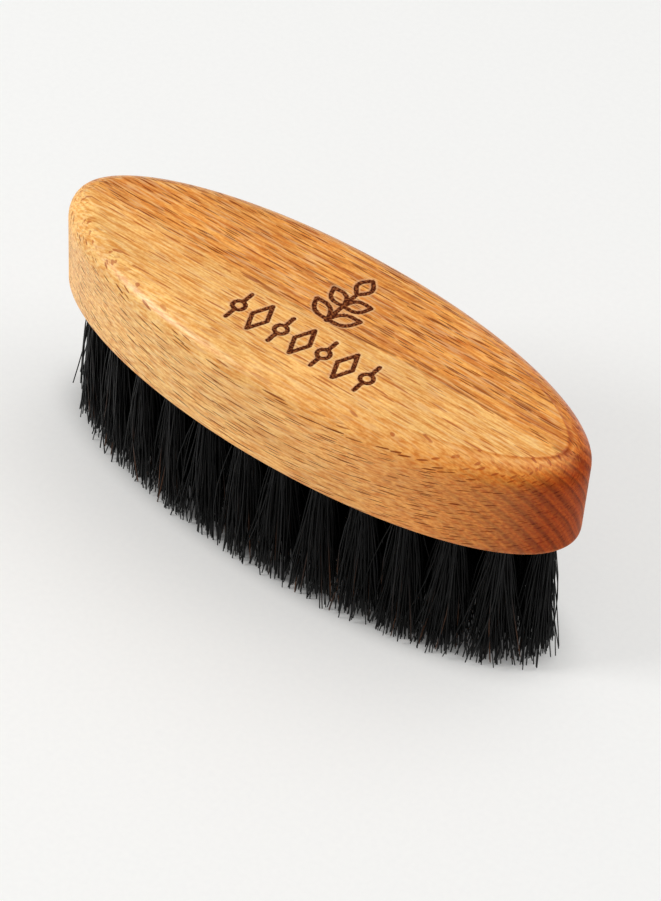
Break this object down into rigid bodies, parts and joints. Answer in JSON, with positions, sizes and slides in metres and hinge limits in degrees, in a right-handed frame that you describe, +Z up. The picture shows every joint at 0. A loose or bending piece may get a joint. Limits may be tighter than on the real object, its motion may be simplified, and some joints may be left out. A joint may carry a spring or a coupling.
{
  "type": "beard brush",
  "caption": "Oval pocket beard brush: solid wooden back with a rounded top edge and tufts of black bristle set in blind holes.",
  "frame": {"origin": "on the surface that the brush stands on, at the trimmed bristle ends, under the middle of the oval back", "axes": "+X along the brush, +Y across it, +Z up from the bristle ends to the flat top of the wooden back"},
  "size_m": [0.11, 0.0398, 0.0497],
  "materials": {
    "wood": "satin",
    "bristle": "satin"
  },
  "bodies": {
    "root": {"brush_back": "wood", "inner_tuft_01": "bristle", "inner_tuft_02": "bristle", "inner_tuft_03": "bristle", "inner_tuft_04": "bristle", "inner_tuft_05": "bristle", "inner_tuft_06": "bristle", "inner_tuft_07": "bristle", "inner_tuft_08": "bristle", "inner_tuft_09": "bristle", "inner_tuft_10": "bristle", "inner_tuft_11": "bristle", "inner_tuft_12": "bristle", "inner_tuft_13": "bristle", "inner_tuft_14": "bristle", "inner_tuft_15": "bristle", "inner_tuft_16": "bristle", "inner_tuft_17": "bristle", "inner_tuft_18": "bristle", "inner_tuft_19": "bristle", "inner_tuft_20": "bristle", "middle_tuft_01": "bristle", "middle_tuft_02": "bristle", "middle_tuft_03": "bristle", "middle_tuft_04": "bristle", "middle_tuft_05": "bristle", "middle_tuft_06": "bristle", "middle_tuft_07": "bristle", "middle_tuft_08": "bristle", "outer_tuft_01": "bristle", "outer_tuft_02": "bristle", "outer_tuft_03": "bristle", "outer_tuft_04": "bristle", "outer_tuft_05": "bristle", "outer_tuft_06": "bristle", "outer_tuft_07": "bristle", "outer_tuft_08": "bristle", "outer_tuft_09": "bristle", "outer_tuft_10": "bristle", "outer_tuft_11": "bristle", "outer_tuft_12": "bristle", "outer_tuft_13": "bristle", "outer_tuft_14": "bristle", "outer_tuft_15": "bristle", "outer_tuft_16": "bristle", "outer_tuft_17": "bristle", "outer_tuft_18": "bristle", "outer_tuft_19": "bristle", "outer_tuft_20": "bristle", "outer_tuft_21": "bristle", "outer_tuft_22": "bristle", "outer_tuft_23": "bristle", "outer_tuft_24": "bristle", "outer_tuft_25": "bristle", "outer_tuft_26": "bristle"}
  },
  "joints": []
}
